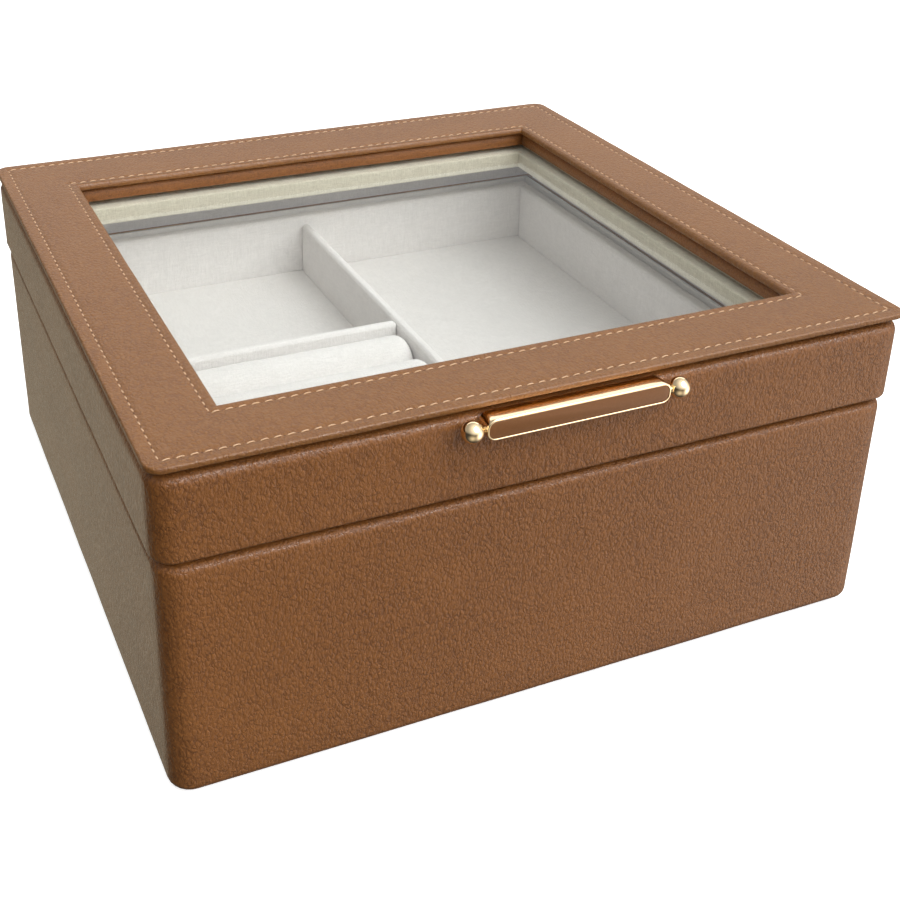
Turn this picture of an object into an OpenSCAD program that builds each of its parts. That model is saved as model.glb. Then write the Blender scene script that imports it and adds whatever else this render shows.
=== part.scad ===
// Leather jewellery case with a glazed hinged lid and a lift-out tray.
// Frame: +Z up, front of the case towards -Y, origin at the centre of the underside.

/* [Case] */
// Outside width of the base, over the leather
case_w = 253.4; // [240:0.2:280]
// Outside depth of the base, over the leather
case_d = 249.8; // [240:0.2:280]
// Height of the base rim above the table
base_h = 83.4; // [78:0.1:100]
// Height of the lid's side walls, up to the underside of the top frame
lid_h = 29.5; // [28:0.1:40]
// Opening between the base rim and the closed lid
rim_gap = 0.5; // [0.3:0.1:1]
// How far the lid's walls stand proud of the base on each side
lid_proud = 0.8; // [0:0.1:1]

/* [Walls] */
// Thickness of the wall boards
board_t = 9.4; // [8:0.1:10]
// Thickness of the leather
leather_t = 1; // [0.8:0.1:1.2]
// Thickness of the fabric-covered lining cards
lining_t = 1.5; // [1:0.1:2]
// Thickness of the bottom board
bottom_t = 6; // [4:0.5:8]
// Radius of the upright outside corners
corner_r = 7.6; // [4:0.1:9]
// Radius of the leather where it turns over a rim
rim_r = 2; // [1.8:0.1:2.2]

/* [Top frame and window] */
// Thickness of the stitched top frame
frame_t = 2.6; // [2.4:0.1:3]
// How far the top frame overhangs the base on each side
frame_over = 1.1; // [0.9:0.1:4]
// Radius of the top frame's corners
frame_r = 5; // [2.6:0.1:8]
// Width of the window
window_w = 200; // [180:1:202]
// Depth of the window
window_d = 194; // [180:1:198]
// Height of the leather bead round the glass
bead_h = 5.9; // [4:0.1:6]
// Thickness of the glass
glass_t = 2.2; // [2:0.1:3]
// Height of the glass retainer below the glass
retainer_h = 7.2; // [6:0.1:12]

/* [Tray] */
// Free space between the tray and the lined walls
tray_gap = 1; // [0.5:0.1:2]
// Thickness of the padded tray walls
tray_wall_t = 6; // [4:0.5:7]
// Height of the tray's lined floor above the table
tray_floor_z = 57.2; // [54:0.1:60]
// Thickness of the tray dividers
divider_t = 4; // [3:0.5:5]
// How far the dividers stop below the top of the tray walls
divider_drop = 3.4; // [0:0.1:6]
// Number of ring rolls
roll_count = 5; // [5]

/* [Handle] */
// Length of the handle bar
bar_l = 62; // [50:1:80]
// Height of the handle bar
bar_h = 7; // [6:0.1:7.2]
// How far the bar stands out from the lid
bar_d = 6.6; // [6.2:0.1:9]
// Radius of the bar's corners, seen from the front
bar_r = 2.9; // [2:0.1:2.9]
// Diameter of the end balls
ball_dia = 6.8; // [5:0.1:8]

/* [Hinges] */
// Distance of each hinge from the middle of the case
hinge_x = 70; // [50:1:90]
// Length of each hinge
hinge_l = 34; // [30:1:40]
// Thickness of the hinge leaves
leaf_t = 1; // [0.8:0.1:1.2]
// Outer radius of the knuckles
knuckle_r = 2.2; // [2:0.1:2.4]
// Radius of the hinge pins
pin_r = 1; // [0.9:0.05:1.1]
// How far the lid opens, in degrees, before the stop tails meet
open_angle = 100; // [90:1:105]

/* [Hidden] */
$fn = 64;
slack = 0.05;
cut = 1;

leather = [0.52, 0.35, 0.24];
leather_top = [0.62, 0.45, 0.35];
cream = [0.93, 0.91, 0.87];
lining_grey = [0.66, 0.63, 0.64];
board_colour = [0.72, 0.58, 0.42];
gold = [0.86, 0.70, 0.42];
brass = [0.78, 0.62, 0.32];
glass_tint = [0.80, 0.90, 0.86, 0.35];

lid_w = case_w + 2 * lid_proud;
lid_d = case_d + 2 * lid_proud;
frame_w = case_w + 2 * frame_over;
frame_d = case_d + 2 * frame_over;
split_z = base_h + rim_gap / 2;
lid_z = base_h + rim_gap;
frame_z = lid_z + lid_h;
top_z = frame_z + frame_t;

// underside: a turned-in leather margin and a thicker panel that stands on the table
underside_t = 1.8;
leather_z = underside_t - leather_t;
margin_w = 11;
pad_t = 1.2;
floor_z = underside_t + bottom_t + pad_t;

// inside of the base boards and of their linings
base_in_w = case_w - 2 * (leather_t + board_t);
base_in_d = case_d - 2 * (leather_t + board_t);
well_w = base_in_w - 2 * lining_t;
well_d = base_in_d - 2 * lining_t;
lid_in_w = lid_w - 2 * (leather_t + board_t);
lid_in_d = lid_d - 2 * (leather_t + board_t);

// window bead, glass and retainer, from the top frame down
bead_step = 1.5;
bead_z = frame_z - bead_h;
glass_play = 0.4;
glass_lap = 4;
glass_w = window_w + 2 * glass_lap;
glass_d = window_d + 2 * glass_lap;
glass_z = bead_z - glass_t;
retainer_z = glass_z - retainer_h;
retainer_lip = 1.5;
lip_t = 1.5;
lip_z = lid_z + 0.5;

// tray
tray_w = well_w - 2 * tray_gap;
tray_d = well_d - 2 * tray_gap;
tray_top = base_h - 0.2;
tray_in_w = tray_w - 2 * tray_wall_t;
tray_in_d = tray_d - 2 * tray_wall_t;
tray_pad_t = 1.2;
tray_board_t = 2.5;
tray_z = tray_floor_z - tray_pad_t - tray_board_t;
divider_top = tray_top - divider_drop;
roll_bay = tray_in_d / 2 - divider_t / 2;
roll_pitch = roll_bay / roll_count;
roll_dia = roll_pitch - 0.3;
roll_l = tray_in_w / 2 - divider_t / 2 - 1;
roll_x = -tray_in_w / 2 + roll_l / 2 + 0.4;
ledge_w = 8;
ledge_h = 6;
ledge_l = 210;
ledge_z = tray_z - 0.3 - ledge_h;

// handle
lid_front = -lid_d / 2;
bar_top = frame_z - 0.3;
bar_z = bar_top - bar_h / 2;
bar_face = lid_front - bar_d;
rim_w = 0.65;
inlay_depth = 0.7;
bevel = 0.25;
ball_y = lid_front - 4.8;
ball_x = 35;
neck_r = 1.1;
handle_screw_x = 18;
handle_screw_r = 1.5;
handle_head_r = 3;
handle_head_t = 2;
handle_reach = 5;

// hinges: pin axis just behind the closed lid
pin_y = lid_d / 2 + knuckle_r + 0.3;
leaf_in = lid_d / 2 - leather_t - board_t + 0.8;
knuckle_gap = 0.3;
outer_knuckle = 10;
inner_knuckle = hinge_l - 2 * outer_knuckle - 2 * knuckle_gap;
leaf_gap = 0.3;
base_leaf_top = split_z - leaf_gap / 2;
lid_leaf_bottom = split_z + leaf_gap / 2;
base_mortise_z = min(base_leaf_top - leaf_t - slack, base_h - leather_t);
lid_mortise_z = max(lid_leaf_bottom + leaf_t + slack, lid_z + leather_t);
tail_in = knuckle_r + 0.4;
tail_out = 5;
tail_t = 1;
// half of the opening angle, and the angle that the two tails take up where they meet
tail_angle = open_angle / 2 + 12.5;
screw_pitch = 11;
screw_y = leaf_in + 4.2;
screw_r = 1.2;
screw_head_r = 2.3;
screw_l = 8;

// ---------- shared shapes ----------

module rounded_square(w, d, r) {
    square([w - 2 * r, d], center = true);
    square([w, d - 2 * r], center = true);
    for (x = [-1, 1])
        for (y = [-1, 1])
            translate([x * (w / 2 - r), y * (d / 2 - r)])
                circle(r);
}

// a box between two heights, centred on X and Y
module block(w, d, z0, z1, x = 0, y = 0) {
    translate([x - w / 2, y - d / 2, z0])
        cube([w, d, z1 - z0]);
}

// sweeps a profile round a rounded rectangle: its x is measured outwards from the outline,
// and its y is the height
module sweep(w, d, r) {
    for (turn = [0, 180])
        rotate(turn) {
            translate([w / 2, d / 2 - r, 0])
                rotate([90, 0, 0])
                    linear_extrude(d - 2 * r)
                        children();
            translate([w / 2 - r, d / 2 - r, 0])
                rotate_extrude(angle = 90)
                    translate([r, 0])
                        children();
            translate([-w / 2 + r, d / 2, 0])
                rotate([90, 0, 90])
                    linear_extrude(w - 2 * r)
                        children();
            translate([-w / 2 + r, d / 2 - r, 0])
                rotate(90)
                    rotate_extrude(angle = 90)
                        translate([r, 0])
                            children();
        }
}

// quarter round of leather over the outer edge of a board, at z = 0 on the leather's surface
module shoulder_profile() {
    difference() {
        intersection() {
            translate([-rim_r, -rim_r])
                circle(rim_r);
            translate([-rim_r, -rim_r])
                square(rim_r);
        }
        translate([-rim_r - cut, -rim_r - cut])
            square([rim_r + cut - leather_t, rim_r + cut - leather_t]);
    }
}

// four walls cut from one ring, so that the outer corners stay rounded
module wall_board(side, w, d, z0, z1) {
    in_w = w - 2 * board_t;
    in_d = d - 2 * board_t;
    r = corner_r - leather_t;
    translate([0, 0, z0])
        linear_extrude(z1 - z0)
            intersection() {
                rounded_square(w, d, r);
                if (side == "front")
                    translate([-w / 2, -d / 2])
                        square([w, board_t]);
                if (side == "back")
                    translate([-w / 2, in_d / 2])
                        square([w, board_t]);
                if (side == "left")
                    translate([-w / 2, -in_d / 2])
                        square([board_t, in_d]);
                if (side == "right")
                    translate([in_w / 2, -in_d / 2])
                        square([board_t, in_d]);
            }
}

// one of four strips that line a w by d opening: the front and back ones run the whole width
module strip(side, w, d, t, z0, z1) {
    if (side == "front")
        block(w, t, z0, z1, 0, -d / 2 + t / 2);
    if (side == "back")
        block(w, t, z0, z1, 0, d / 2 - t / 2);
    if (side == "left")
        block(t, d - 2 * t, z0, z1, -w / 2 + t / 2, 0);
    if (side == "right")
        block(t, d - 2 * t, z0, z1, w / 2 - t / 2, 0);
}

// leather round four boards: a side skin, a rounded shoulder and a turned-in margin at the rim
module side_skin(w, d, z0, z1) {
    translate([0, 0, z0])
        linear_extrude(z1 - z0)
            difference() {
                rounded_square(w, d, corner_r);
                rounded_square(w - 2 * leather_t, d - 2 * leather_t, corner_r - leather_t);
            }
}

module margin(w, d, in_w, in_d, z) {
    translate([0, 0, z])
        linear_extrude(leather_t)
            difference() {
                rounded_square(w - 2 * rim_r, d - 2 * rim_r, corner_r - rim_r);
                square([in_w, in_d], center = true);
            }
}

// space taken out of a wall for the two hinge leaves, reaching out past the leather
module mortises(z0, z1) {
    for (x = [-hinge_x, hinge_x])
        translate([x - hinge_l / 2 - slack, leaf_in - slack, z0])
            cube([hinge_l + 2 * slack, pin_y - leaf_in, z1 - z0]);
}

module at_hinge_screws() {
    for (x = [-hinge_x, hinge_x])
        for (i = [-1, 1])
            translate([x + i * screw_pitch, screw_y, 0])
                children();
}

// ---------- base ----------

base_board_w = case_w - 2 * leather_t;
base_board_d = case_d - 2 * leather_t;

module base_board(side) {
    color(board_colour)
        difference() {
            wall_board(side, base_board_w, base_board_d, underside_t, base_h - leather_t);
            if (side == "back") {
                mortises(base_mortise_z, base_h);
                at_hinge_screws()
                    translate([0, 0, base_leaf_top - screw_l])
                        cylinder(r = screw_r, h = screw_l);
            }
        }
}

module base_front_board() { base_board("front"); }
module base_back_board() { base_board("back"); }
module base_left_board() { base_board("left"); }
module base_right_board() { base_board("right"); }

module base_bottom_board() {
    color(board_colour)
        block(base_in_w, base_in_d, underside_t, underside_t + bottom_t);
}

module base_leather() {
    color(leather)
        difference() {
            union() {
                side_skin(case_w, case_d, leather_z + rim_r, base_h - rim_r);
                translate([0, 0, base_h])
                    sweep(case_w, case_d, corner_r)
                        shoulder_profile();
                margin(case_w, case_d, base_in_w, base_in_d, base_h - leather_t);
                translate([0, 0, leather_z])
                    sweep(case_w, case_d, corner_r)
                        mirror([0, 1])
                            shoulder_profile();
                margin(case_w, case_d, case_w - 2 * margin_w, case_d - 2 * margin_w, leather_z);
            }
            mortises(base_mortise_z, base_h + cut);
        }
}

module underside_panel() {
    color(lining_grey)
        linear_extrude(underside_t)
            rounded_square(case_w - 2 * margin_w, case_d - 2 * margin_w, 3);
}

module base_lining(side) {
    color(cream)
        strip(side, base_in_w, base_in_d, lining_t, underside_t + bottom_t, base_h - 1.4);
}

module base_lining_front() { base_lining("front"); }
module base_lining_back() { base_lining("back"); }
module base_lining_left() { base_lining("left"); }
module base_lining_right() { base_lining("right"); }

module base_floor_pad() {
    color(cream)
        block(well_w, well_d, floor_z - pad_t, floor_z);
}

// strips that carry the tray
module tray_ledge(side) {
    color(cream)
        block(ledge_w, ledge_l, ledge_z, ledge_z + ledge_h, side * (well_w - ledge_w) / 2, 0);
}

module tray_ledge_left() { tray_ledge(-1); }
module tray_ledge_right() { tray_ledge(1); }

// ---------- hinges ----------

// a tube of the hinge barrel, along X between two offsets from the hinge's middle
module knuckle(x0, x1, bore) {
    translate([x0, pin_y, split_z])
        rotate([0, 90, 0])
            difference() {
                cylinder(r = knuckle_r, h = x1 - x0);
                translate([0, 0, -cut])
                    cylinder(r = bore, h = x1 - x0 + 2 * cut);
            }
}

// the web that joins a leaf to its knuckle, kept clear of the bore
module leaf_web(x0, x1, z0) {
    difference() {
        translate([x0, pin_y - knuckle_r - 0.6, z0])
            cube([x1 - x0, knuckle_r + 0.6, leaf_t]);
        translate([x0 - cut, pin_y, split_z])
            rotate([0, 90, 0])
                cylinder(r = (knuckle_r + pin_r) / 2, h = x1 - x0 + 2 * cut);
    }
}

module leaf_plate(z0) {
    translate([-hinge_l / 2, leaf_in, z0])
        cube([hinge_l, pin_y - knuckle_r - 0.3 - leaf_in, leaf_t]);
}

// a stop tail behind the pin, reaching from inside the knuckle to tail_out
module tail(x0, x1, angle) {
    translate([0, pin_y, split_z])
        rotate([angle, 0, 0])
            translate([x0, knuckle_r - 0.3, -tail_t / 2])
                cube([x1 - x0, tail_out - knuckle_r + 0.3, tail_t]);
}

// the lid leaf's tail: a neck as wide as its knuckle and an end as wide as the hinge
module wide_tail(neck, wide, angle) {
    translate([0, pin_y, split_z])
        rotate([angle, 0, 0])
            translate([0, 0, -tail_t / 2])
                linear_extrude(tail_t)
                    polygon([
                        [-neck, knuckle_r - 0.3],
                        [neck, knuckle_r - 0.3],
                        [neck, tail_in],
                        [wide, tail_in],
                        [wide, tail_out],
                        [-wide, tail_out],
                        [-wide, tail_in],
                        [-neck, tail_in]
                    ]);
}

// countersunk holes for the leaf's two screws, with the wide side at z = 0, opening along up
module leaf_holes(up) {
    for (i = [-1, 1])
        translate([i * screw_pitch, screw_y, 0])
            rotate([up > 0 ? 180 : 0, 0, 0]) {
                cylinder(r1 = screw_head_r + slack, r2 = screw_r + slack, h = leaf_t);
                translate([0, 0, -cut])
                    cylinder(r = screw_r + slack, h = leaf_t + 2 * cut);
            }
}

module base_leaf(x) {
    end = hinge_l / 2;
    inner = end - outer_knuckle;
    color(brass)
        translate([x, 0, 0])
            difference() {
                union() {
                    leaf_plate(base_leaf_top - leaf_t);
                    for (span = [[-end, -inner], [inner, end]]) {
                        knuckle(span[0], span[1], pin_r);
                        leaf_web(span[0], span[1], base_leaf_top - leaf_t);
                        tail(span[0], span[1], -tail_angle);
                    }
                }
                translate([0, 0, base_leaf_top])
                    leaf_holes(1);
            }
}

module lid_leaf(x) {
    end = hinge_l / 2;
    half = inner_knuckle / 2;
    color(brass)
        translate([x, 0, 0])
            difference() {
                union() {
                    leaf_plate(lid_leaf_bottom);
                    knuckle(-half, half, pin_r + slack);
                    leaf_web(-half, half, lid_leaf_bottom);
                    wide_tail(half - 0.6, end, tail_angle);
                }
                translate([0, 0, lid_leaf_bottom])
                    leaf_holes(-1);
            }
}

module hinge_base_leaf_left() { base_leaf(-hinge_x); }
module hinge_base_leaf_right() { base_leaf(hinge_x); }
module hinge_lid_leaf_left() { lid_leaf(-hinge_x); }
module hinge_lid_leaf_right() { lid_leaf(hinge_x); }

module hinge_pins() {
    color(brass)
        for (x = [-hinge_x, hinge_x])
            translate([x - hinge_l / 2, pin_y, split_z])
                rotate([0, 90, 0])
                    cylinder(r = pin_r, h = hinge_l);
}

module countersunk_screw() {
    cylinder(r1 = screw_head_r, r2 = screw_r, h = leaf_t);
    cylinder(r = screw_r, h = screw_l);
}

module hinge_screws_base() {
    color(brass)
        at_hinge_screws()
            translate([0, 0, base_leaf_top])
                mirror([0, 0, 1])
                    countersunk_screw();
}

module hinge_screws_lid() {
    color(brass)
        at_hinge_screws()
            translate([0, 0, lid_leaf_bottom])
                countersunk_screw();
}

// ---------- tray ----------

module tray_floor_board() {
    color(cream)
        block(tray_w, tray_d, tray_z, tray_z + tray_board_t);
}

module tray_wall(side) {
    color(cream)
        strip(side, tray_w, tray_d, tray_wall_t, tray_z + tray_board_t, tray_top);
}

module tray_front_wall() { tray_wall("front"); }
module tray_back_wall() { tray_wall("back"); }
module tray_left_wall() { tray_wall("left"); }
module tray_right_wall() { tray_wall("right"); }

module tray_long_divider() {
    color(cream)
        block(divider_t, tray_in_d, tray_z + tray_board_t, divider_top);
}

module tray_cross_divider() {
    color(cream)
        block((tray_in_w - divider_t) / 2, divider_t, tray_z + tray_board_t, divider_top,
              -(tray_in_w + divider_t) / 4, 0);
}

// the lined card floors of the two open compartments
module tray_pad(w, d, x, y) {
    color(cream)
        block(w, d, tray_floor_z - tray_pad_t, tray_floor_z, x, y);
}

module tray_pad_rear_left() {
    tray_pad((tray_in_w - divider_t) / 2, (tray_in_d - divider_t) / 2,
             -(tray_in_w + divider_t) / 4, (tray_in_d + divider_t) / 4);
}

module tray_pad_right() {
    tray_pad((tray_in_w - divider_t) / 2, tray_in_d, (tray_in_w + divider_t) / 4, 0);
}

// a foam roll with a round top and a flat foot on the tray board
module ring_roll(i) {
    r = roll_dia / 2;
    foot = tray_z + tray_board_t;
    roll_z = divider_top - 0.6 - r;
    y = -divider_t / 2 - roll_pitch * (i - 0.5);
    color(cream)
        translate([roll_x - roll_l / 2, y, 0])
            rotate([90, 0, 90])
                linear_extrude(roll_l) {
                    translate([0, roll_z])
                        circle(r);
                    translate([-r, foot])
                        square([2 * r, roll_z - foot]);
                }
}

module ring_roll_1() { ring_roll(1); }
module ring_roll_2() { ring_roll(2); }
module ring_roll_3() { ring_roll(3); }
module ring_roll_4() { ring_roll(4); }
module ring_roll_5() { ring_roll(5); }

// ---------- lid ----------

lid_board_w = lid_w - 2 * leather_t;
lid_board_d = lid_d - 2 * leather_t;

// runs children() along -Y from the lid's inner face, at each handle screw
module at_handle_screws() {
    for (x = [-handle_screw_x, handle_screw_x])
        translate([x, lid_front + leather_t + board_t, bar_z])
            rotate([90, 0, 0])
                children();
}

module lid_board(side) {
    color(board_colour)
        difference() {
            wall_board(side, lid_board_w, lid_board_d, lid_z + leather_t, frame_z);
            if (side == "back") {
                mortises(lid_z, lid_mortise_z);
                at_hinge_screws()
                    translate([0, 0, lid_leaf_bottom])
                        cylinder(r = screw_r, h = screw_l);
            }
            if (side == "front")
                at_handle_screws() {
                    translate([0, 0, -cut])
                        cylinder(r = handle_head_r + 0.3, h = handle_head_t + 0.4 + cut);
                    cylinder(r = handle_screw_r + 0.1, h = board_t + cut);
                }
        }
}

module lid_front_board() { lid_board("front"); }
module lid_back_board() { lid_board("back"); }
module lid_left_board() { lid_board("left"); }
module lid_right_board() { lid_board("right"); }

module lid_leather() {
    color(leather)
        difference() {
            union() {
                side_skin(lid_w, lid_d, lid_z + rim_r, frame_z - rim_r);
                translate([0, 0, frame_z])
                    sweep(lid_w, lid_d, corner_r)
                        difference() {
                            shoulder_profile();
                            translate([-rim_r - cut, -leather_t])
                                square([rim_r + cut - leather_t, leather_t + cut]);
                        }
                translate([0, 0, lid_z])
                    sweep(lid_w, lid_d, corner_r)
                        mirror([0, 1])
                            shoulder_profile();
                margin(lid_w, lid_d, lid_in_w, lid_in_d, lid_z);
            }
            mortises(lid_z - cut, lid_mortise_z);
            at_handle_screws()
                cylinder(r = handle_screw_r + 0.1, h = board_t + leather_t + cut);
        }
}

// core board of the stitched top frame, sealed inside its leather
module top_frame_board() {
    color(board_colour)
        translate([0, 0, frame_z + 0.7])
            linear_extrude(frame_t - 1.4)
                difference() {
                    rounded_square(frame_w - 2.4, frame_d - 2.4, frame_r - 1.2);
                    square([window_w + 2.4, window_d + 2.4], center = true);
                }
}

module top_frame_leather() {
    edge = frame_t / 2;
    window_r = edge + 0.4;
    color(leather_top)
        difference() {
            union() {
                translate([0, 0, frame_z])
                    linear_extrude(frame_t)
                        difference() {
                            rounded_square(frame_w - frame_t, frame_d - frame_t, frame_r - edge);
                            rounded_square(window_w + frame_t, window_d + frame_t, window_r);
                        }
                translate([0, 0, frame_z + edge])
                    sweep(frame_w - frame_t, frame_d - frame_t, frame_r - edge)
                        intersection() {
                            circle(edge);
                            translate([0, -edge])
                                square([edge, frame_t]);
                        }
                translate([0, 0, frame_z + edge])
                    sweep(window_w + frame_t, window_d + frame_t, window_r)
                        intersection() {
                            circle(edge);
                            translate([-edge, -edge])
                                square([edge, frame_t]);
                        }
            }
            top_frame_board();
        }
}

// leather-covered bead above the glass
module glass_bead(side) {
    t = (lid_in_w - window_w) / 2 - bead_step;
    d_extra = lid_in_d - window_d - 2 * bead_step - 2 * t;
    color(leather)
        if (side == "front" || side == "back")
            block(lid_in_w, t + d_extra / 2, bead_z, frame_z, 0,
                  (side == "front" ? -1 : 1) * (lid_in_d / 2 - t / 2 - d_extra / 4));
        else
            block(t, window_d + 2 * bead_step, bead_z, frame_z,
                  (side == "left" ? -1 : 1) * (lid_in_w / 2 - t / 2), 0);
}

module glass_bead_front() { glass_bead("front"); }
module glass_bead_back() { glass_bead("back"); }
module glass_bead_left() { glass_bead("left"); }
module glass_bead_right() { glass_bead("right"); }

module glass_pane() {
    color(glass_tint)
        block(glass_w, glass_d, glass_z, glass_z + glass_t);
}

// lined frame that holds the glass from below, with a rebate for it
module glass_retainer(side) {
    in_w = window_w - 2 * retainer_lip;
    in_d = window_d - 2 * retainer_lip;
    w_t = (lid_in_w - in_w) / 2;
    d_t = (lid_in_d - in_d) / 2;
    color(cream)
        difference() {
            if (side == "front" || side == "back")
                block(lid_in_w, d_t, retainer_z, bead_z, 0,
                      (side == "front" ? -1 : 1) * (lid_in_d - d_t) / 2);
            else
                block(w_t, in_d, retainer_z, bead_z,
                      (side == "left" ? -1 : 1) * (lid_in_w - w_t) / 2, 0);
            block(glass_w + 2 * glass_play, glass_d + 2 * glass_play, glass_z, bead_z + cut);
        }
}

module glass_retainer_front() { glass_retainer("front"); }
module glass_retainer_back() { glass_retainer("back"); }
module glass_retainer_left() { glass_retainer("left"); }
module glass_retainer_right() { glass_retainer("right"); }

// fabric strips on the lid walls below the retainer
module lid_lip(side) {
    color(lining_grey)
        strip(side, lid_in_w, lid_in_d, lip_t, lip_z, retainer_z);
}

module lid_lip_front() { lid_lip("front"); }
module lid_lip_back() { lid_lip("back"); }
module lid_lip_left() { lid_lip("left"); }
module lid_lip_right() { lid_lip("right"); }

// ---------- handle ----------

// the bar's outline seen from the front, extruded along -Y from a given depth
module bar_outline(inset, y0, y1) {
    translate([0, y0, bar_z])
        rotate([90, 0, 0])
            linear_extrude(y0 - y1)
                rounded_square(bar_l - 2 * inset, bar_h - 2 * inset, bar_r - inset);
}

module handle_bar() {
    color(gold)
        difference() {
            union() {
                bar_outline(0, lid_front, bar_face + bevel);
                bar_outline(bevel, lid_front, bar_face);
            }
            bar_outline(rim_w, bar_face + inlay_depth, bar_face - cut);
            at_handle_screws()
                cylinder(r = handle_screw_r, h = board_t + leather_t + handle_reach);
            for (x = [-1, 1])
                translate([x * (bar_l / 2 - 2), ball_y, bar_z])
                    rotate([0, x * 90, 0])
                        cylinder(r = neck_r, h = 2 + cut);
        }
}

module handle_inlay() {
    color(leather)
        bar_outline(rim_w, bar_face + inlay_depth, bar_face + 0.1);
}

// a ball with a neck that enters the end of the bar
module handle_ball(side) {
    color(gold) {
        translate([side * ball_x, ball_y, bar_z])
            sphere(d = ball_dia);
        translate([side * (bar_l / 2 - 2), ball_y, bar_z])
            rotate([0, side * 90, 0])
                cylinder(r = neck_r, h = ball_x - bar_l / 2 + 2);
    }
}

module handle_ball_left() { handle_ball(-1); }
module handle_ball_right() { handle_ball(1); }

module handle_screws() {
    color(brass)
        at_handle_screws() {
            translate([0, 0, 0.2])
                cylinder(r = handle_head_r, h = handle_head_t);
            translate([0, 0, 0.2])
                cylinder(r = handle_screw_r, h = board_t + leather_t + handle_reach - 0.5);
        }
}

base_front_board();
base_back_board();
base_left_board();
base_right_board();
base_bottom_board();
base_leather();
underside_panel();
base_lining_front();
base_lining_back();
base_lining_left();
base_lining_right();
base_floor_pad();
tray_ledge_left();
tray_ledge_right();
hinge_base_leaf_left();
hinge_base_leaf_right();
hinge_pins();
hinge_screws_base();
tray_floor_board();
tray_front_wall();
tray_back_wall();
tray_left_wall();
tray_right_wall();
tray_long_divider();
tray_cross_divider();
tray_pad_rear_left();
tray_pad_right();
ring_roll_1();
ring_roll_2();
ring_roll_3();
ring_roll_4();
ring_roll_5();
lid_front_board();
lid_back_board();
lid_left_board();
lid_right_board();
lid_leather();
top_frame_board();
top_frame_leather();
glass_bead_front();
glass_bead_back();
glass_bead_left();
glass_bead_right();
glass_pane();
glass_retainer_front();
glass_retainer_back();
glass_retainer_left();
glass_retainer_right();
lid_lip_front();
lid_lip_back();
lid_lip_left();
lid_lip_right();
handle_bar();
handle_inlay();
handle_ball_left();
handle_ball_right();
handle_screws();
hinge_lid_leaf_left();
hinge_lid_leaf_right();
hinge_screws_lid();
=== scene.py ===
"""Looks for a leather jewellery case: leather skins, stitching, glazed lid, padded tray and gold handle."""

import math

import bmesh
import bpy
from mathutils import Matrix, Vector, noise


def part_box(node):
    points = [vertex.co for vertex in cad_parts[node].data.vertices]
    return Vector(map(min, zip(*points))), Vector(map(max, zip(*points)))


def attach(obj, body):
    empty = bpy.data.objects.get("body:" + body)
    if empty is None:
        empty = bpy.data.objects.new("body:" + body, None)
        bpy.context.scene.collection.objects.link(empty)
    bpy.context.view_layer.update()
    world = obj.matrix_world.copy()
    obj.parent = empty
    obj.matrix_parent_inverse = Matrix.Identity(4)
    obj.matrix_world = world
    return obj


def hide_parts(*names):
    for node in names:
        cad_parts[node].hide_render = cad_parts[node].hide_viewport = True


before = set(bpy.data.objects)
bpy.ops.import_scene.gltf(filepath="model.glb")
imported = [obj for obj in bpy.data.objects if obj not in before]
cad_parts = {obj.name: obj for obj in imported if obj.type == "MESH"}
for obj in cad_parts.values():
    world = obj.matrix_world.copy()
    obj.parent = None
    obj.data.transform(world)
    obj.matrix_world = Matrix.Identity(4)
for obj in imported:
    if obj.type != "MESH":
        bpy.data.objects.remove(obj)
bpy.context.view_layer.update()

MM = 0.001

# ---------- sizes taken from the CAD nodes ----------

base_lo, base_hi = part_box("base_leather")
lid_lo, lid_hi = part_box("lid_leather")
top_lo, top_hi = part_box("top_frame_leather")
panel_lo, panel_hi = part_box("underside_panel")
glass_lo, glass_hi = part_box("glass_pane")
bead_lo, bead_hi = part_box("glass_bead_front")
side_bead_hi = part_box("glass_bead_left")[1]
retainer_lo, retainer_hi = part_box("glass_retainer_front")
lip_lo, lip_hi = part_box("lid_lip_front")
bar_lo, bar_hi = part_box("handle_bar")
inlay_lo, inlay_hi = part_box("handle_inlay")

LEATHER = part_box("base_left_board")[0].x - base_lo.x
CORNER = 7.6 * MM
TOP_CORNER = 5.0 * MM

# edge roundings and seam gaps of the two leather skins, each as (bottom, top)
BASE_ROUNDING = (3.2 * MM, 3.0 * MM)
LID_ROUNDING = (1.1 * MM, 3.4 * MM)
BASE_NECKS = (0, 1.0 * MM)
LID_NECKS = (0.5 * MM, 1.1 * MM)

# the opening in the top frame: it lies a little nearer the front than the glass does
BEAD_STEP = 1.5 * MM
HOLE_W = -side_bead_hi.x - BEAD_STEP
HOLE_D = -bead_hi.y - BEAD_STEP - 1.5 * MM
HOLE_Y = -2.5 * MM


# ---------- mesh building ----------

def mesh_object(name, verts, faces, sharp=math.radians(50)):
    """A smooth-shaded mesh object with outward normals, creased where faces meet at more than sharp."""
    mesh = bpy.data.meshes.new(name)
    mesh.from_pydata(verts, [], faces)
    bm = bmesh.new()
    bm.from_mesh(mesh)
    bmesh.ops.remove_doubles(bm, verts=bm.verts, dist=1e-7)
    bmesh.ops.recalc_face_normals(bm, faces=bm.faces)
    bm.to_mesh(mesh)
    bm.free()
    mesh.polygons.foreach_set("use_smooth", [True] * len(mesh.polygons))
    mesh.set_sharp_from_angle(angle=sharp)
    obj = bpy.data.objects.new(name, mesh)
    bpy.context.scene.collection.objects.link(obj)
    return obj


def wobble(obj, amount, size):
    """Moves the vertices along their normals by smooth noise, so that no surface is perfectly flat."""
    normals = [v.normal.copy() for v in obj.data.vertices]
    for v, n in zip(obj.data.vertices, normals):
        v.co += n * amount * noise.noise(v.co / size)
    return obj


def arc(cx, cy, r, start, end, steps):
    """Points on an arc, with the angles in degrees."""
    angles = [math.radians(start + (end - start) * i / steps) for i in range(steps + 1)]
    return [(cx + r * math.cos(a), cy + r * math.sin(a)) for a in angles]


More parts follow.
